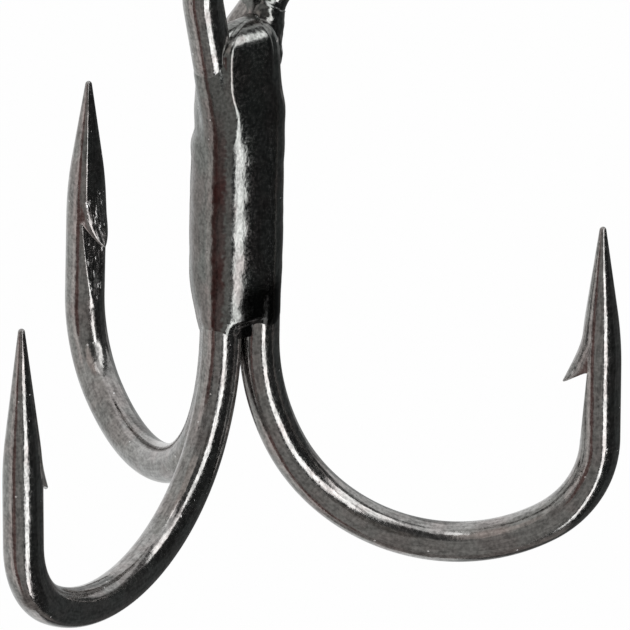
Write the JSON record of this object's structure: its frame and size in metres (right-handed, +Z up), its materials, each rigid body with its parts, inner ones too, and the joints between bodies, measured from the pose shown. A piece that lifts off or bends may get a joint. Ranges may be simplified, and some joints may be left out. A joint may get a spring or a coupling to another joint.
{
  "type": "treble hook",
  "caption": "Treble fish hook of round wire with barbed needle points, a brazed shank and an eye for a split ring.",
  "frame": {"origin": "centre of the eye", "axes": "+Z up along the shanks, +X towards the single hook"},
  "size_m": [0.0204, 0.0232, 0.0238],
  "materials": {
    "plated_wire": "polished black nickel plate on high-carbon steel wire",
    "plated_braze": "black nickel plate over brazing metal, smooth with a slightly rough edge"
  },
  "bodies": {
    "root": {"double_hook": "plated_wire", "single_hook": "plated_wire", "braze_joint": "plated_braze"}
  },
  "joints": []
}
